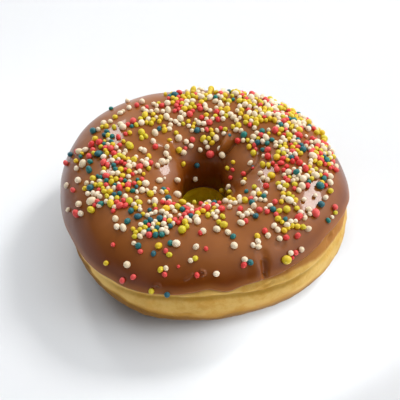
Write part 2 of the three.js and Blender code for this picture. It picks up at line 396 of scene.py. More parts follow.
# %% Icing: thickness
# Soft bumps: their size, their middle and how far they reach, around and of section in degrees.
COAT_BUMPS = [
    (1.1, 57, 130, 6, 8),  # a finger over the hole's far right rim
    (1.7, 168, 154, 35, 13),  # a shelf at the hole's left rim
    (1.9, 171, 141, 42, 18),  # and the slope behind it
    (1.9, 146, 126, 11, 8),  # with a knob
    (1.8, 15, 155, 30, 14),  # a shelf at the hole's right rim
    (0.6, 22, 138, 22, 12),  # and the slope behind it
    (-0.5, 22, 115, 18, 9),  # a shallow hollow beside that slope
]
LIP_RADIUS = 1.0
COAT_SINK = 0.1  # how far the inner face lies inside the crust
SECTION_RADIUS = 17  # the cross-section's mean radius
MM_PER_TURN = FULL_TURN * SECTION_RADIUS
USUAL_EDGE = 12 * DEGREE  # about where the icing's lower edge lies


def bump_at(bump, around, section):
    """What one soft bump adds: a hill across both angles."""
    size, bump_around, bump_section, around_reach, section_reach = bump
    share = hill(around, bump_around * DEGREE, around_reach * DEGREE)
    return size * share * hill(section, bump_section * DEGREE, section_reach * DEGREE)


def bumps_at(bumps, around, section):
    """What a list of soft bumps adds."""
    return sum(bump_at(bump, around, section) for bump in bumps)


def coat_lift(around, section):
    """The icing's outer face above the dough, with its soft bumps."""
    thinning = THROAT_THINNING * ramp(section, 110 * DEGREE, 170 * DEGREE)
    return COAT_LIFT - thinning + bumps_at(COAT_BUMPS, around, section)


print("icing on the crown in front, mm:", round(float(coat_lift(FRONT, 90 * DEGREE)), 2))

# %% Icing: set marks
# Marks in the set icing, as for the crust.
COAT_STROKES = [
    # The finger of icing over the hole, with the crease beside it.
    ([(59, 118), (58, 127), (60, 138)], 1.7, 1.3),
    ([(48, 122), (50, 133), (55, 143)], 1.2, -1.3),
    # A fold right of the hole, with its raised lip.
    ([(24, 110), (18, 112), (14, 114), (6, 119), (-1, 125), (-8, 134)], 0.8, -0.9),
    ([(20, 105), (11, 109), (3, 115), (-5, 122)], 1.5, 0.2),
    # A groove in front on the right, with a raised left lip and a pit at its end.
    ([(296.5, 51), (296, 42)], 2.6, -0.45),
    ([(296, 43), (295.2, 36), (294.7, 30)], 1.5, -0.8),
    ([(292.5, 46), (292, 38), (291, 31)], 3.0, 0.3),
    ([(294.6, 31), (294.8, 28)], 0.9, -0.6),
    # Dents and pits.
    ([(304.5, 54), (306, 52), (307.5, 53)], 1.6, -0.3),
    ([(296, 66)], 3.0, -0.2),
    # Thin curls of icing.
    ([(268.5, 46), (270, 45), (270.3, 42.5), (269.2, 41.5)], 0.5, 0.65),
    ([(265, 42.5), (264.3, 40.5), (263.3, 38.5), (262.4, 37.5)], 0.5, 0.45),
    ([(250.5, 27), (251, 29.5), (252.5, 30), (253, 28)], 0.5, 0.7),
]
POOL = (-0.35, 336, 67, 7, 13)  # a flat place on the right, which shines as a whole


def coat_details(around, section, base):
    """Relief of the set icing: long soft waves, the pool and the marks."""
    soft = 0.1 * lumps(base, 20, 8) + 0.03 * lumps(base, 7, 9)
    marks = sum(height * stroke(base, path, reach) for path, reach, height in COAT_STROKES)
    return soft + marks + bump_at(POOL, around, section)


print("marks in the icing:", len(COAT_STROKES))

# %% Icing: rows and columns
COAT_COLUMNS = 480
COLUMN_CROWDING = 0.45  # how strongly the columns crowd together in front, from 0 to 1
LIP_ROWS = 8
FACE_ROWS = 150
INNER_ROWS = 12


def coat_rows():
    """How far along the face each row lies, from 0 at the outer lip to 1 at the hole's, which
    rows belong to the outer face, and what share of the face one lip takes."""
    length = (THROAT_EDGE - USUAL_EDGE) / FULL_TURN * MM_PER_TURN
    lip = LIP_RADIUS / length
    turn = np.arange(LIP_ROWS) / LIP_ROWS * math.pi / 2
    rising = lip * (1 - np.cos(turn))
    face = np.linspace(lip, 1 - lip, FACE_ROWS)
    falling = 1 - rising[::-1]
    inner = np.linspace(1, 0, INNER_ROWS + 2)[1:-1]
    rows = np.concatenate([rising, face, falling, inner])
    return rows, np.arange(len(rows)) < len(rows) - INNER_ROWS, lip


rows, is_outer, lip = coat_rows()
print("rows of the icing:", len(rows), "of them on the outer face:", int(is_outer.sum()))

# %% Icing: mesh
# Painted shade on the icing's low sides: full below the first height, in mm, and none where its
# top starts at the second. Close to the lip, up to these angles above it, it keeps the top's
# colour.
SIDE_SHADE_HEIGHTS = (22, 31)
SIDE_SHADE_START = (2 * DEGREE, 12 * DEGREE)

turn = np.arange(COAT_COLUMNS) / COAT_COLUMNS * FULL_TURN
around = turn - COLUMN_CROWDING * np.cos(turn)
edge = icing_edge(around)
section = edge + (THROAT_EDGE - edge) * rows[:, None]
around = np.broadcast_to(around, section.shape)
base = ring_point(around, section, 0)
from_lip = np.minimum(rows, 1 - rows) / lip
rounding = np.sqrt(1 - (1 - np.clip(from_lip, 0, 1)) ** 2)[:, None]
outer_lift = (coat_lift(around, section) + coat_details(around, section, base)) * rounding
lift = np.where(is_outer[:, None], outer_lift, -COAT_SINK)
coat_points = ring_point(around, section, lift)
icing_coat = fill_mesh("icing_coat", coat_points.reshape(-1, 3), ring_quads(*section.shape))
# Painted shade: how much of the deeper brown each point of the low sides gets.
side_shade = 1 - ramp(coat_points[..., 2], *SIDE_SHADE_HEIGHTS)
store(icing_coat, "side_shade", side_shade * ramp(section - edge, *SIDE_SHADE_START))

# %% [markdown]
# ## Scattering the sprinkles
#
# The sprinkles are small balls of sugar, 1 to 2.8 mm across. They were dropped on from above
# while the icing was wet. They lie densest round the crown, heaped up at the back on the right,
# and leave bare icing in front, where only a few lie by themselves.
#
# Those lone ones are listed one by one. The other large ones are drawn by the same rule and the
# same simple random numbers as in the solid model, so they lie where its sprinkles lie.

# %% Sprinkles: lone ones
# Degrees around, degrees of section, radius in mm. The first list is in the solid model too.
LONE_LARGE = [
    (305, 38, 1.4, "yellow"), (330, 57, 1.3, "red"), (202, 58, 1.3, "cream"), (256, 71, 1.3, "cream"),
    (257, 85, 1.3, "yellow"), (162, 97, 1.3, "yellow"), (148, 85, 1.2, "cream"),
    (185, 50, 1.1, "cream"), (198, 44, 1.1, "cream"), (201, 37, 1.1, "red"), (206, 54, 1.1, "yellow"),
    (238, 40, 1.1, "cream"), (248, 66, 1.1, "yellow"), (285, 66, 1.1, "cream"), (336, 57, 1.1, "teal"),
    (239, 60, 1, "teal"), (278, 85, 1, "cream"), (192, 144, 1, "cream"), (76, 143, 1.3, "red"),
    (129, 134, 1, "yellow"), (124, 138, 1, "cream"), (20, 117, 1, "yellow"), (333, 104, 1, "red"),
    (320, 108, 1, "cream"), (8, 106, 1.1, "red"), (54, 140, 1, "cream"), (154, 59, 1.1, "teal"),
    (148, 65, 1, "cream"), (160, 66, 1, "yellow"), (164, 64, 1, "red"), (124, 70, 1, "cream"),
]
LONE_SMALL = [
    # Left side.
    (182, 32, 0.8, "cream"), (188, 41, 0.8, "red"), (194, 26, 0.7, "cream"), (207, 63, 0.9, "cream"),
    (203, 42, 0.9, "cream"), (153, 64, 0.8, "cream"), (146, 70, 0.8, "cream"), (150, 70, 0.8, "yellow"),
    (142, 70, 0.85, "yellow"), (138, 70, 0.8, "cream"), (136, 70, 0.7, "cream"),
    (132, 70, 0.8, "cream"), (154, 74, 0.85, "teal"), (157, 74, 0.85, "teal"), (157, 81, 0.8, "teal"),
    (160, 79, 0.7, "cream"), (152, 90, 0.75, "red"), (150, 92, 0.85, "yellow"), (168, 67, 0.85, "red"),
    (165, 36, 0.85, "teal"), (168, 29, 0.85, "red"), (177, 49, 0.85, "cream"), (166, 47, 0.85, "red"),
    (172, 48, 0.8, "yellow"), (135, 48, 0.7, "teal"), (127, 52, 0.8, "cream"), (128, 72, 0.85, "red"),
    # Front, from left to right.
    (215, 71, 0.7, "red"), (220, 68, 1, "cream"), (224, 64, 1, "cream"), (227, 67, 1, "cream"),
    (235, 74, 0.8, "yellow"), (241, 73, 1, "red"), (244, 75, 0.9, "teal"), (247, 77, 0.9, "teal"),
    (228, 49, 0.7, "red"), (229, 30, 0.8, "yellow"), (241, 56, 0.8, "red"), (247, 58, 0.8, "teal"),
    (252, 63, 0.8, "red"), (254, 60, 0.8, "yellow"), (253, 71, 0.9, "teal"), (266, 69, 0.9, "cream"),
    (264, 56, 0.8, "cream"), (266, 58, 0.9, "yellow"), (252, 45, 0.9, "yellow"),
    (254, 47, 0.8, "cream"), (254, 41, 0.8, "red"), (259, 50, 0.5, "red"), (242, 31, 0.9, "red"),
    (238, 23, 0.9, "red"), (267, 42, 0.8, "red"), (250, 22, 0.9, "yellow"), (256, 21, 0.9, "teal"),
    (268, 83, 0.8, "red"), (284, 80, 0.9, "cream"), (286, 75, 0.9, "teal"), (271, 67, 0.7, "red"),
    (288, 51, 0.9, "cream"), (290, 47, 0.9, "teal"), (287, 46, 0.9, "red"), (275, 42, 0.9, "cream"),
    (294, 62, 0.8, "cream"), (298, 69, 0.9, "yellow"), (297, 64, 0.9, "cream"), (296, 59, 0.9, "cream"),
    (303, 71, 0.9, "red"), (303, 66, 0.9, "cream"), (309, 67, 0.9, "cream"), (307, 59, 0.9, "cream"),
    (310, 57, 0.9, "red"), (315, 53, 0.9, "red"), (313, 40, 0.9, "cream"), (308, 42, 0.9, "cream"),
    (310, 40, 0.9, "red"), (308, 37, 0.6, "red"), (314, 64, 0.8, "yellow"), (318, 60, 0.9, "yellow"),
    # Right side.
    (332, 43, 0.8, "teal"), (335, 41, 0.6, "cream"), (340, 43, 0.9, "red"), (338, 40, 0.7, "yellow"),
    # Round the hole.
    (161, 107, 0.8, "cream"), (136, 147, 0.8, "yellow"), (103, 155, 0.9, "teal"),
    (111, 170, 0.9, "cream"), (94, 139, 0.8, "cream"), (82, 136, 0.8, "cream"), (86, 131, 0.8, "cream"),
    (108, 134, 0.9, "cream"), (76, 131, 0.9, "yellow"), (62, 135, 0.85, "cream"),
    (146, 125, 0.85, "cream"), (154, 128, 0.9, "cream"), (163, 132, 0.75, "cream"),
    (195, 130, 0.5, "cream"), (215, 123, 0.8, "teal"), (220, 123, 0.8, "yellow"),
    (26, 146, 0.75, "yellow"), (26, 138, 0.7, "yellow"), (14, 142, 0.6, "red"), (2, 147, 0.7, "red"),
    (356, 132, 0.85, "red"), (346, 130, 0.6, "yellow"), (339, 130, 0.9, "cream"),
    (30, 117, 0.9, "yellow"), (28, 112, 0.75, "red"), (2, 122, 0.5, "teal"), (0, 122, 0.5, "red"),
    (0, 112, 0.9, "yellow"), (358, 107, 0.8, "yellow"), (349, 114, 0.8, "cream"),
    (342, 110, 0.9, "cream"), (330, 114, 0.8, "yellow"), (326, 108, 0.75, "cream"),
    (322, 118, 0.75, "teal"), (322, 99, 0.9, "teal"), (306, 110, 0.9, "cream"),
    (347, 152, 0.85, "cream"), (346, 155, 0.6, "cream"), (16, 171, 0.9, "yellow"),
    (330, 148, 0.8, "yellow"), (303, 124, 0.9, "yellow"), (316, 102, 0.8, "cream"),
]
print("lone sprinkles:", len(LONE_LARGE) + len(LONE_SMALL))

# %% Sprinkles: the density
SCATTER_SOFTNESS = 7 * DEGREE
SCATTER_SHARE = 0.5
# More or fewer sprinkles here and there in their band, as soft bumps of the density.
SCATTER_PATCHES = [
    (0.5, 35, 78, 36, 28),
    (0.45, 28, 92, 12, 12),
    (-0.5, 60, 98, 9, 14),
    (0.4, 100, 92, 20, 16),
    (-0.5, 130, 64, 20, 16),
    (-0.45, 156, 116, 18, 14),
    (0.8, 204, 87, 22, 14),
    (0.45, 240, 100, 24, 14),
    (0.5, 332, 88, 18, 14),
    (-0.4, 2, 122, 22, 11),
    (-1, 334, 62, 7, 10),
    (-1, 150, 80, 9, 9),
]


def scatter_density(around, section):
    """How likely a sprinkle is, from 0 to 1: a patchy, soft-edged band between two wavy lines."""
    start = round_the_ring(SCATTER_FROM, around) * DEGREE
    end = round_the_ring(SCATTER_TO, around) * DEGREE
    started = ramp(section, start - SCATTER_SOFTNESS, start + SCATTER_SOFTNESS)
    ended = ramp(section, end - SCATTER_SOFTNESS, end + SCATTER_SOFTNESS)
    share = SCATTER_SHARE + bumps_at(SCATTER_PATCHES, around, section)
    return started * (1 - ended) * np.clip(share, 0, 1)


print("density on the crown in front:", round(float(scatter_density(FRONT, 90 * DEGREE)), 2))

# %% Sprinkles: the large ones
LARGE_COUNT = 200
LARGEST, SMALLEST_LARGE = 1.3, 0.95
LARGE_SPACING = 2.5
SPRINKLE_SINK = 0.45  # how deep each one sits in the icing, as a share of its radius
SPRINKLE_MARGIN = 6 * DEGREE  # how far they keep from the icing's edge
LARGE_FURTHEST = 135 * DEGREE  # none is drawn farther into the hole than this


def minimal_random(state=4585):
    """Repeatable numbers from 0 to 1: each state is 16807 times the last, modulo 2 to the 31
    minus 1."""
    while True:
        state = state * 16807 % 2147483647
        yield state / 2147483647


def sprinkle_centre(around, section, radius):
    """The centre of a ball that sits in the icing at two angles."""
    stand = coat_lift(around, section) + radius * (1 - SPRINKLE_SINK)
    return ring_point(around, section, stand)


def large_sprinkles():
    """Both angles and the radius of each large sprinkle, the lone ones first."""
    draw = minimal_random()
    kept = [(around * DEGREE, section * DEGREE, radius) for around, section, radius, _ in LONE_LARGE]
    centres = [sprinkle_centre(*sprinkle) for sprinkle in kept]
    while len(kept) < LARGE_COUNT:
        around, section, chance = next(draw) * FULL_TURN, LARGE_FURTHEST * next(draw), next(draw)
        left = 1 - len(kept) / LARGE_COUNT
        radius = SMALLEST_LARGE + (LARGEST - SMALLEST_LARGE) * left**2
        centre = sprinkle_centre(around, section, radius)
        wanted = scatter_density(around, section) * math.hypot(centre[0], centre[1])
        on_icing = section > round_the_ring(EDGE_STATIONS, around) * DEGREE + SPRINKLE_MARGIN
        apart = np.all(np.linalg.norm(np.array(centres) - centre, axis=1) > LARGE_SPACING)
        if chance < wanted / (RING_RADIUS + HALF_WIDTH) and on_icing and apart:
            kept.append((around, section, radius))
            centres.append(centre)
    return np.array(kept)


large = large_sprinkles()
print(len(large), "large sprinkles")

# %% [markdown]
# The finer sprinkles are drawn all at once. Real ones stick in small clumps, so most of them are
# scattered closely round fewer than two hundred random places. Many of them overlap at first.
# Real balls would roll off each other, so the next cell lets them settle: each pair that overlaps
# is pushed apart a little, and each ball sinks back to the icing. After some rounds nearly all
# lie side by side, and where there is no room left, one or two lie on top.

# %% Sprinkles: the finer ones
FINE_COUNT = 640
CLUMP_COUNT = 170
CLUMP_REACH = 2.3  # mm
LOOSE_SHARE = 0.3  # of the finer ones, which lie outside the clumps
# More or fewer of the finer ones than of the large ones, as soft bumps of their density.
FINE_PATCHES = [
    (0.5, 20, 90, 10, 7),
    (-0.4, 20, 105, 10, 7),
    (-0.4, 60, 88, 9, 10),
    (0.9, 68, 119, 18, 9),
    (-0.7, 120, 75, 9, 9),
    (0.6, 120, 112, 10, 12),
    (-0.6, 148, 105, 16, 8),
    (0.5, 180, 89, 9, 8),
    (-0.6, 180, 106, 10, 7),
    (0.6, 200, 79, 9, 7),
    (-0.6, 190, 59, 18, 7),
    (-0.7, 220, 70, 9, 9),
    (-0.6, 220, 112, 10, 14),
    (-0.8, 212, 140, 18, 9),
    (0.8, 240, 91, 10, 8),
    (-0.5, 300, 60, 10, 8),
    (0.3, 322, 88, 9, 8),
    (-0.5, 332, 106, 16, 8),
    (-1, 336, 66, 10, 12),
]
FINE_LARGEST, FINE_SMALLEST = 0.94, 0.58
FINE_SPREAD = (2.4, 2)  # of the beta distribution: most are of middling size
FINE_FURTHEST = 178 * DEGREE  # none is drawn farther into the hole than this
TRIES = 40  # how many places are drawn for each one that is wanted


def scattered_places(random, count):
    """Random places, both angles, kept where the density allows it."""
    around = random.uniform(0, FULL_TURN, TRIES * count)
    section = random.uniform(0, FINE_FURTHEST, TRIES * count)
    place = ring_point(around, section, COAT_LIFT)
    density = scatter_density(around, section)
    density = density * (1 + bumps_at(FINE_PATCHES, around, section))
    wanted = density * np.hypot(place[:, 0], place[:, 1])
    kept = random.uniform(0, RING_RADIUS + HALF_WIDTH, TRIES * count) < wanted
    return around[kept][:count], section[kept][:count]


def fine_sprinkles(seed=12):
    """Angles and radii of the finer sprinkles, most of them in clumps."""
    random = np.random.default_rng(seed)
    around, section = scattered_places(random, CLUMP_COUNT)
    chosen = random.integers(0, CLUMP_COUNT, int(FINE_COUNT * (1 - LOOSE_SHARE)))
    around_mm = RING_RADIUS + HALF_WIDTH * np.cos(section[chosen])
    around = around[chosen] + random.normal(0, CLUMP_REACH, len(chosen)) / around_mm
    section = section[chosen] + random.normal(0, CLUMP_REACH, len(chosen)) / MM_PER_TURN * FULL_TURN
    loose_around, loose_section = scattered_places(random, FINE_COUNT - len(chosen))
    radius = FINE_SMALLEST + (FINE_LARGEST - FINE_SMALLEST) * random.beta(*FINE_SPREAD, FINE_COUNT)
    angles = np.concatenate([around, loose_around]), np.concatenate([section, loose_section])
    return np.stack([*angles, radius], axis=1)


lone_small = np.array([place[:3] for place in LONE_SMALL]) * (DEGREE, DEGREE, 1)
sprinkles = np.concatenate([large, lone_small, fine_sprinkles()])
held_count = len(large) + len(lone_small)
print(len(sprinkles), "sprinkles")

# %% Sprinkles: let them settle
SETTLE_ROUNDS = 70
SINK_STEP = 0.06
CLOSENESS = 0.97  # balls may touch this closely, because they aren't quite round
EDGE_CLEARANCE = 2 * DEGREE  # how far they keep from the icing's edge
FAR = 99  # as a ball's distance to itself, so that it doesn't push itself


def local_frame(around, section, lift):
    """The unit directions round the ring, along the section and outwards at each place, and how
    many millimetres one radian of each angle covers."""
    tiny = 1e-4
    place = ring_point(around, section, lift)
    along_around = (ring_point(around + tiny, section, lift) - place) / tiny
    along_section = (ring_point(around, section + tiny, lift) - place) / tiny
    around_size = np.linalg.norm(along_around, axis=1, keepdims=True)
    section_size = np.linalg.norm(along_section, axis=1, keepdims=True)
    outwards = np.cross(along_around, along_section)
    outwards /= np.linalg.norm(outwards, axis=1, keepdims=True)
    return along_around / around_size, along_section / section_size, outwards, around_size, section_size


def settle(sprinkles, held_count):
    """Pushes overlapping balls apart and lets them sink to the icing. The first `held_count`
    balls stay where they are. Returns the balls' centres and radii, and how high each one lies
    above its place on the icing."""
    around, section, radius = sprinkles.T.copy()
    rest = radius * (1 - SPRINKLE_SINK)
    stand = rest.copy()
    free = np.arange(len(radius)) >= held_count
    reach = (radius[:, None] + radius[None, :]) * CLOSENESS
    share = np.where(free[None, :], 0.5, 1.0) * free[:, None]
    for _ in range(SETTLE_ROUNDS):
        lift = coat_lift(around, section) + stand
        centre = ring_point(around, section, lift)
        gap = centre[:, None, :] - centre[None, :, :]
        distance = np.linalg.norm(gap, axis=2) + np.eye(len(radius)) * FAR
        overlap = np.maximum(reach - distance, 0) * share
        push = np.einsum("ij,ijk->ik", overlap / distance, gap)
        round_way, along_way, out_way, around_size, section_size = local_frame(around, section, lift)
        around = around + np.sum(push * round_way, axis=1) / around_size[:, 0]
        section = section + np.sum(push * along_way, axis=1) / section_size[:, 0]
        section = np.where(free, np.maximum(section, icing_edge(around) + EDGE_CLEARANCE), section)
        stand = np.maximum(stand + np.sum(push * out_way, axis=1) - SINK_STEP, rest)
        stand = np.where(free, stand, rest)
    return ring_point(around, section, coat_lift(around, section) + stand), radius, stand - rest


centres, radii, raised = settle(sprinkles, held_count)
print("balls on top of others:", int(np.sum(raised > 0.5)), "highest:", round(float(raised.max()), 2))

# %% [markdown]
# ## One mesh for each colour of sprinkle
#
# A ball needs only sixty faces at this size. The unit ball is made once; then every sprinkle is
# that ball, stretched a little, turned at random and moved to its place. All of it is one
# product of arrays: balls by points by coordinates.

# %% Sprinkles: a unit ball
BALL_SIDES = 10
BALL_ROWS = 6


def unit_ball():
    """Points and faces of a ball of radius 1: rings of points between two poles."""
    polar = np.arange(1, BALL_ROWS)[:, None] * math.pi / BALL_ROWS
    turn = np.arange(BALL_SIDES)[None, :] * FULL_TURN / BALL_SIDES
    ring = np.stack(
        [np.sin(polar) * np.cos(turn), np.sin(polar) * np.sin(turn), np.cos(polar) + 0 * turn], axis=-1
    ).reshape(-1, 3)
    points = np.concatenate([ring, [[0, 0, 1], [0, 0, -1]]])
    number = np.arange((BALL_ROWS - 1) * BALL_SIDES).reshape(BALL_ROWS - 1, BALL_SIDES)
    beside = np.roll(number, -1, axis=1)
    quads = np.stack([number[:-1], number[1:], beside[1:], beside[:-1]], axis=-1).reshape(-1, 4)
    top, bottom = len(ring), len(ring) + 1
    top_cap = np.stack([np.full(BALL_SIDES, top), number[0], beside[0]], axis=-1)
    bottom_cap = np.stack([np.full(BALL_SIDES, bottom), beside[-1], number[-1]], axis=-1)
    return points, quads, np.concatenate([top_cap, bottom_cap])


def random_turns(random, count):
    """Random rotation matrices, from random unit quaternions."""
    quaternions = random.normal(size=(4, count))
    w, x, y, z = quaternions / np.linalg.norm(quaternions, axis=0)
    rows = [
        [1 - 2 * (y * y + z * z), 2 * (x * y - w * z), 2 * (x * z + w * y)],
        [2 * (x * y + w * z), 1 - 2 * (x * x + z * z), 2 * (y * z - w * x)],
        [2 * (x * z - w * y), 2 * (y * z + w * x), 1 - 2 * (x * x + y * y)],
    ]
    return np.moveaxis(np.array(rows), 2, 0)


ball_points, ball_quads, ball_caps = unit_ball()
print("faces of a ball:", len(ball_quads) + len(ball_caps))

# %% [markdown]
# The four colours aren't mixed evenly. Each has a usual share, and soft bumps make it more or
# less common here and there. Dividing by the sum makes the four shares of a place add up to 1.

# %% Sprinkles: their colours
COLOUR_SHARES = {"cream": 0.41, "yellow": 0.3, "red": 0.2, "teal": 0.09}
COLOUR_PATCHES = {
    "cream": [],
    "yellow": [(1.3, 80, 80, 22, 18), (-0.9, 240, 95, 10, 10), (0.8, 25, 115, 18, 8)],
    "red": [
        (3.2, 358, 100, 16, 14), (1.8, 262, 113, 22, 12), (2.2, 240, 97, 14, 9), (1.2, 160, 55, 14, 12),
        (2.0, 122, 74, 10, 8), (1.2, 340, 114, 12, 8), (-0.8, 85, 88, 16, 16), (-0.7, 325, 76, 30, 10),
    ],
    "teal": [
        (1.5, 195, 75, 50, 12), (3.0, 240, 94, 10, 10), (1.2, 310, 95, 18, 9), (1.0, 10, 80, 18, 10),
        (-0.8, 110, 95, 45, 25),
    ],
}


def local_shares(around, section):
    """The share of each colour at each place, one row for a colour. Together they make 1."""
    rows = []
    for name, share in COLOUR_SHARES.items():
        bumps = bumps_at(COLOUR_PATCHES[name], around, section)
        rows.append(share * np.maximum(1 + bumps, 0) * np.ones_like(around))
    return np.array(rows) / np.sum(rows, axis=0)


in_front = local_shares(np.array([FRONT]), np.array([110 * DEGREE]))
print("shares in front of the hole:", dict(zip(COLOUR_SHARES, in_front.ravel().round(2))))

# %% Sprinkles: shapes and colours
MOST_STRETCH = 0.45  # no ball is longer than a round one by more than this share
STRETCH_SPREAD = (1.2, 2.6)  # of the beta distribution: most are stretched much less than that
LEAST_WIDTH = 0.9  # the narrowest ball's width, as a share of a round one's

random = np.random.default_rng(31)
stretch = np.ones((len(radii), 3))
stretch[:, 2] = 1 + MOST_STRETCH * random.beta(*STRETCH_SPREAD, len(radii))
stretch[:, 1] = random.uniform(LEAST_WIDTH, 1.0, len(radii))
turns = random_turns(random, len(radii))
colour_draw = random.uniform(0, 1, len(radii))
limits = np.cumsum(local_shares(sprinkles[:, 0], sprinkles[:, 1]), axis=0)
colour_index = np.sum(colour_draw > limits[:-1], axis=0)
colour_names = list(COLOUR_SHARES)
colour_index[: len(LONE_LARGE)] = [colour_names.index(name) for *_, name in LONE_LARGE]
colour_index[len(large) : held_count] = [colour_names.index(name) for *_, name in LONE_SMALL]
print("balls of each colour:", dict(zip(colour_names, np.bincount(colour_index).tolist())))

# %% Sprinkles: meshes
sprinkle_pieces = {}
for index, name in enumerate(COLOUR_SHARES):
    chosen = np.flatnonzero(colour_index == index)
    shape = ball_points[None] * stretch[chosen, None, :] * radii[chosen, None, None]
    points = np.einsum("nij,nkj->nki", turns[chosen], shape) + centres[chosen, None, :]
    offset = np.arange(len(chosen))[:, None, None] * len(ball_points)
    quads = (ball_quads[None] + offset).reshape(-1, 4)
    caps = (ball_caps[None] + offset).reshape(-1, 3)
    piece = fill_mesh(f"sprinkles_{name}", points.reshape(-1, 3), quads, caps)
    tint = random.uniform(0, 1, len(chosen))
    store(piece, "tint", np.repeat(tint, len(ball_points)))
    sprinkle_pieces[name] = piece

# %% [markdown]
# ## Writing shader maths as Python
#
# A material in Blender is a tree of nodes. Wiring Math nodes by hand hides what they work out,
# so this small class wraps one output socket and makes `a * b + 1` add the nodes itself. Any
# other node comes from `Paint.node`, which sets the node's own settings first and then its
# inputs.

# %% Shader helpers
class Wire:
    """An output socket of a node, on which Python's operators add Math nodes."""

    def __init__(self, paint, socket):
        self.paint, self.socket = paint, socket

    def _math(self, operation, *values):
        return self.paint.node("ShaderNodeMath", {"operation": operation}, dict(enumerate(values)))

    def __add__(self, other):
        return self._math("ADD", self, other)

    def __sub__(self, other):
        return self._math("SUBTRACT", self, other)

    def __rsub__(self, other):
        return self._math("SUBTRACT", other, self)

    def __mul__(self, other):
        return self._math("MULTIPLY", self, other)

    __radd__ = __add__
    __rmul__ = __mul__


class Paint:
    """A material or a world with an empty node tree, and short ways to fill it."""

    def __init__(self, owner):
        self.owner = owner
        owner.use_nodes = True
        self.tree = owner.node_tree
        self.tree.nodes.clear()
        self.object_place = self.node("ShaderNodeTexCoord", output="Object")

    def node(self, kind, settings=None, inputs=None, output=0):
        """Adds a node, sets it up, links or sets its inputs, and gives one of its outputs."""
        made = self.tree.nodes.new(kind)
        for name, value in (settings or {}).items():
            setattr(made, name, value)
        for name, value in (inputs or {}).items():
            if isinstance(value, Wire):
                self.tree.links.new(value.socket, made.inputs[name])
            else:
                made.inputs[name].default_value = value
        return Wire(self, made.outputs[output]) if made.outputs else made

    def attribute(self, name):
        """The number that was stored for each point under this name."""
        return self.node("ShaderNodeAttribute", {"attribute_name": name}, output="Fac")

    def noise(self, scale, detail=3.0, roughness=0.5):
        """Cloudy values round 0.5; `scale` is in bumps for each metre."""
        inputs = {"Vector": self.object_place, "Scale": scale, "Detail": detail, "Roughness": roughness}
        return self.node("ShaderNodeTexNoise", {"noise_dimensions": "3D"}, inputs)

    def spots(self, scale):
        """The distance to the nearest of many scattered points."""
        inputs = {"Vector": self.object_place, "Scale": scale}
        return self.node("ShaderNodeTexVoronoi", {"feature": "F1"}, inputs)

    def between(self, value, low, high):
        """0 below `low`, 1 above `high`, and smooth between them."""
        inputs = {"Value": value, "From Min": low, "From Max": high}
        return self.node("ShaderNodeMapRange", {"interpolation_type": "SMOOTHSTEP"}, inputs)

    def mix(self, factor, first, second):
        """A colour between two colours."""
        inputs = {0: factor, 6: first, 7: second}
        return self.node("ShaderNodeMix", {"data_type": "RGBA"}, inputs, output=2)

    def bump(self, height, distance, strength=1.0):
        """A normal that tilts with a height; `distance` is the height's unit in metres."""
        inputs = {"Height": height, "Distance": distance, "Strength": strength}
        return self.node("ShaderNodeBump", {}, inputs, output="Normal")

    def finish(self, **sockets):
        """Adds the surface shader, with underscores in place of spaces, and gives the material."""
        inputs = {name.replace("_", " "): value for name, value in sockets.items()}
        shader = self.node("ShaderNodeBsdfPrincipled", {}, inputs, output="BSDF")
        self.node("ShaderNodeOutputMaterial", {}, {"Surface": shader})
        return self.owner


def colour(red, green, blue):
    """A colour given as the eye sees it, 0 to 255, turned into the linear values that light
    uses."""
    values = np.array([red, green, blue]) / 255
    linear = np.where(values <= 0.04045, values / 12.92, ((values + 0.055) / 1.055) ** 2.4)
    return (*map(float, linear), 1.0)


print("mid grey as light sees it:", round(colour(128, 128, 128)[0], 3))

# %% [markdown]
# ## The icing's finish
#
# Set milk-chocolate icing is smooth and half glossy. Its brown is a little lighter where the
# sugar has bloomed, so a slow cloudy pattern moves the colour between two near browns. A stored
# field is 1 on the icing's low sides, and there a deeper brown is painted: painted shade, darker
# than the top because less light falls there. A very shallow bump keeps the reflections from
# looking like glass.

# %% Material: icing
def icing_material():
    """Milk-chocolate icing."""
    paint = Paint(bpy.data.materials.new("icing_finish"))
    cloud = paint.noise(70, detail=4)
    even = paint.mix(paint.between(cloud, 0.35, 0.65), colour(141, 80, 26), colour(151, 88, 33))
    # Painted shade: a deeper brown on the icing's low sides.
    brown = paint.mix(paint.attribute("side_shade") * 0.9, even, colour(104, 44, 2))
    ripple = paint.noise(160, detail=2) * 0.7 + paint.noise(900, detail=2) * 0.08
    return paint.finish(
        Base_Color=brown,
        Roughness=0.32,
        Specular_IOR_Level=0.15,
        Coat_Weight=0.34,
        Coat_Roughness=0.075,
        Normal=paint.bump(ripple, 0.0004, 0.5),
    )


icing_coat.data.materials.append(icing_material())
print("material:", icing_coat.data.materials[0].name)
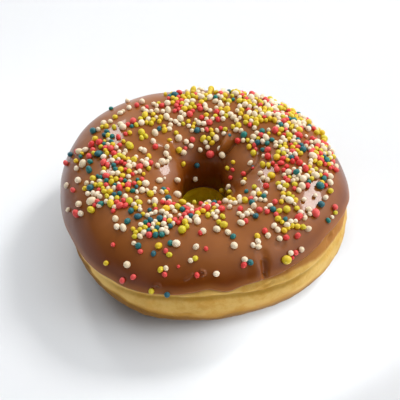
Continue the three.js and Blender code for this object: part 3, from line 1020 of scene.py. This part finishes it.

# %% [markdown]
# ## The crust's finish
#
# Three colours make most of the crust: pale dough in the belt, gold beside it, and brown where it
# lay in the oil. The stored fields say how far each point was fried, and a noise breaks up their
# borders. In the hole the dough is unfried and pale, and painted a brighter yellow as painted
# light. The crease is painted a darker olive as painted shade, and the band under the icing is
# darker, partly toasted crust and partly painted shade below the icing's lip. Small pores and
# fine wrinkles are bump, because they are shallower than the mesh.

# %% Material: crust
def crust_material():
    """Fried dough: a pale belt between browned faces."""
    paint = Paint(bpy.data.materials.new("crust_finish"))
    cloud = paint.noise(120, detail=5, roughness=0.6)
    fine = paint.noise(700, detail=4, roughness=0.6)
    blotch = paint.between(paint.noise(210, detail=5, roughness=0.7), 0.38, 0.64)
    belly = paint.mix(blotch, colour(214, 174, 92), colour(202, 154, 64))
    pale = paint.mix(paint.attribute("pale_side") * 0.9, belly, colour(252, 216, 130))
    # In the hole the dough is unfried and pale, and painted a brighter yellow as painted light.
    inner = paint.mix(paint.attribute("in_hole"), pale, colour(250, 216, 20))
    fried = paint.attribute("fried") + (cloud - 0.5) * 0.3 + (fine - 0.5) * 0.1
    gold = paint.mix(paint.between(fried, 0.05, 0.6), inner, colour(188, 136, 44))
    below_brown = paint.mix(paint.between(fried, 0.5, 1.05), gold, colour(138, 92, 18))
    above = paint.attribute("fried_above") + (cloud - 0.5) * 0.9
    brown = paint.mix(paint.between(above, 0.15, 0.9), below_brown, colour(172, 114, 46))
    # Just under the icing's lip the crust is darker: partly toasted crust, partly painted shade below the
    # lip.
    below = paint.attribute("below_icing")
    lip_toast_and_shade = 1 - paint.between(below + (fine - 0.5) * 2, 0.5, 2.6)
    edged = paint.mix(lip_toast_and_shade * 0.45, brown, colour(146, 88, 38))
    # Painted shade: a darker olive along the crease.
    crease = paint.between(paint.attribute("crease") + (fine - 0.5) * 0.3, 0.25, 1.0)
    crease_shaded = paint.mix(crease * 0.65, edged, colour(168, 128, 36))
    pores = 1 - paint.between(paint.spots(650), 0.1, 0.35)
    wrinkles = cloud * 0.8 + fine * 0.5 - pores * paint.between(cloud, 0.5, 0.62) * 0.5
    return paint.finish(
        Base_Color=crease_shaded,
        Roughness=0.55 + fine * 0.2,
        Specular_IOR_Level=0.25,
        Subsurface_Weight=0.15,
        Subsurface_Radius=(1.0, 0.55, 0.25),
        Subsurface_Scale=0.0015,
        Normal=paint.bump(wrinkles, 0.0006, 0.5),
    )


dough_ring.data.materials.append(crust_material())
print("material:", dough_ring.data.materials[0].name)

# %% [markdown]
# ## The sprinkles' finish
#
# Each ball has a hard sugar shell with a soft shine. No two have quite the same colour, so the
# number stored for each ball mixes between two shades.

# %% Material: sprinkles
SPRINKLE_COLOURS = {
    "cream": (colour(247, 230, 202), colour(234, 213, 175)),
    "yellow": (colour(232, 192, 20), colour(212, 198, 36)),
    "red": (colour(224, 50, 46), colour(232, 84, 78)),
    "teal": (colour(8, 122, 110), colour(26, 90, 104)),
}


def sprinkle_material(name, first, second):
    """A sugar ball's shell, between two shades."""
    paint = Paint(bpy.data.materials.new(name))
    shade = paint.mix(paint.attribute("tint"), first, second)
    grain = paint.noise(2500, detail=2)
    return paint.finish(
        Base_Color=shade,
        Roughness=0.42,
        Subsurface_Weight=0.1,
        Subsurface_Radius=(0.6, 0.5, 0.4),
        Subsurface_Scale=0.0005,
        Normal=paint.bump(grain, 0.0001, 0.4),
    )


for name, piece in sprinkle_pieces.items():
    piece.data.materials.append(sprinkle_material(f"sprinkle_{name}_finish", *SPRINKLE_COLOURS[name]))
print("sprinkle materials:", len(SPRINKLE_COLOURS))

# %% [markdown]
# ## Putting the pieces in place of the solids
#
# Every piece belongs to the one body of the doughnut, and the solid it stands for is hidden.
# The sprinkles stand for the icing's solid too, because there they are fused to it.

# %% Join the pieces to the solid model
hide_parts("dough")
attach(dough_ring, "root")
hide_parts("icing")
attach(icing_coat, "root")
for name, piece in sprinkle_pieces.items():
    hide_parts("icing")
    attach(piece, "root")
print("pieces joined:", 2 + len(sprinkle_pieces))

# %% [markdown]
# ## The floor and the light
#
# The doughnut lies on a plain white table. The light comes from all round, as in a room with
# white walls: brightest on the right, so that the shadow falls towards the left, and darker on
# the left and behind the camera. Glossy icing shows what it reflects, so the dark part behind
# the camera helps to make the steep front of the icing look deep brown.
#
# The sky is a few round patches of light with soft borders. The angle between a direction and
# the middle of a patch is small where their dot product is near 1.

# %% Floor
FLOOR_HALF = 1500  # half the side of the square, in mm


def make_floor():
    """A wide square of white table."""
    corners = np.array([[-1, -1, 0], [1, -1, 0], [1, 1, 0], [-1, 1, 0]]) * FLOOR_HALF
    floor = fill_mesh("floor", corners, np.array([[0, 1, 2, 3]]))
    paint = Paint(bpy.data.materials.new("floor_finish"))
    white = paint.mix(paint.noise(3), colour(203, 204, 205), colour(207, 208, 209))
    floor.data.materials.append(paint.finish(Base_Color=white, Roughness=0.8, Specular_IOR_Level=0))
    return floor


floor = make_floor()

# %% Sky
EVEN_LIGHT = 0.54
HORIZON_LIGHT = 0.4  # added near the horizon
HORIZON_START, HORIZON_FULL = 22 * DEGREE, 8 * DEGREE  # elevations where it starts and is full
# Azimuth (0 is to the right, 90 behind) and elevation of the middle of each patch, the angles
# from its middle where it starts and ends to fade, all in degrees, and its brightness.
SKY_PATCHES = [
    (5, 28, 25, 45, 0.85),
    (330, 12, 12, 30, 0.4),
    (325, 42, 12, 32, 0.5),
    (36, 36, 8, 22, 0.7),
    (20, 72, 15, 38, 0.5),
    (125, 38, 15, 38, 0.3),
    (178, 27, 15, 48, -0.33),
    (270, 38, 15, 40, -0.25),
    (270, 8, 12, 42, -0.35),
]


def direction(azimuth, elevation):
    """The unit vector that points to a place in the sky."""
    level = math.cos(elevation)
    return Vector((level * math.cos(azimuth), level * math.sin(azimuth), math.sin(elevation)))


def soft_sky():
    """A world whose brightness changes softly with the direction."""
    paint = Paint(bpy.data.worlds.new("studio"))
    looking = paint.node("ShaderNodeTexCoord", output="Generated")
    height = paint.node("ShaderNodeSeparateXYZ", {}, {"Vector": looking}, output="Z")
    low_down = paint.between(height, math.sin(HORIZON_START), math.sin(HORIZON_FULL))
    light = EVEN_LIGHT + HORIZON_LIGHT * low_down
    for azimuth, elevation, inner, outer, brightness in SKY_PATCHES:
        middle = direction(azimuth * DEGREE, elevation * DEGREE)
        inputs = {0: looking, 1: middle}
        nearness = paint.node("ShaderNodeVectorMath", {"operation": "DOT_PRODUCT"}, inputs, output="Value")
        patch = paint.between(nearness, math.cos(outer * DEGREE), math.cos(inner * DEGREE))
        light = light + brightness * patch
    inputs = {"Color": (0.98, 0.99, 1.015, 1), "Strength": light}
    background = paint.node("ShaderNodeBackground", {}, inputs)
    paint.node("ShaderNodeOutputWorld", {}, {"Surface": background})
    return paint.owner


bpy.context.scene.world = soft_sky()
print("sky patches:", len(SKY_PATCHES))

# %% [markdown]
# Two softboxes stand in front of that sky. They add little light, but the icing mirrors them:
# one as the bright patch on the right, the other as the window on the left at the back.
#
# Two more small lamps, in front and on the left, light only the table. They soften the shadow
# and leave the doughnut itself alone, which Blender's light linking allows.

# %% Lamps
# Azimuth and elevation in degrees, distance and size in metres, and brightness.
LAMPS = {
    "key_light": (40, 45, 0.9, (0.19, 0.19), 23),
    "window_light": (110, 41, 0.9, (0.13, 0.3), 16),
    "front_light": (305, 30, 0.07, (0.04, 0.03), 7.9),
    "left_light": (160, 40, 0.12, (0.05, 0.05), 4.1),
}
TABLE_LAMPS = ("front_light", "left_light")  # these light only the table
TABLE_LAMP_TINT = (0.95, 1.01, 1.05)


def softbox(name, azimuth, elevation, distance, size, radiance):
    """A rectangle of light that faces the doughnut. The power in watts is the brightness times
    the area times pi."""
    light = bpy.data.lights.new(name, "AREA")
    light.shape = "RECTANGLE"
    light.size, light.size_y = size
    light.energy = radiance * size[0] * size[1] * math.pi
    lamp = bpy.data.objects.new(name, light)
    bpy.context.collection.objects.link(lamp)
    towards = direction(azimuth * DEGREE, elevation * DEGREE)
    turned = towards.to_track_quat("Z", "Y").to_matrix().to_4x4()
    lamp.matrix_world = Matrix.Translation(towards * distance) @ turned
    lamp.visible_camera = False
    return lamp


def light_only(lamp, receiver):
    """Makes a lamp light one object and no other."""
    group = bpy.data.collections.new(f"lit by {lamp.name}")
    group.objects.link(receiver)
    lamp.light_linking.receiver_collection = group


for name, numbers in LAMPS.items():
    lamp = softbox(name, *numbers)
    if name in TABLE_LAMPS:
        lamp.data.color = TABLE_LAMP_TINT
        light_only(lamp, floor)
print("lamps:", list(LAMPS))

# %% [markdown]
# Blender can bend the brightness curve of a picture to look like film. "Standard" leaves it
# straight, so that the colours come out as they were given.

# %% Picture
bpy.context.scene.view_settings.view_transform = "Standard"
print("view:", bpy.context.scene.view_settings.view_transform)
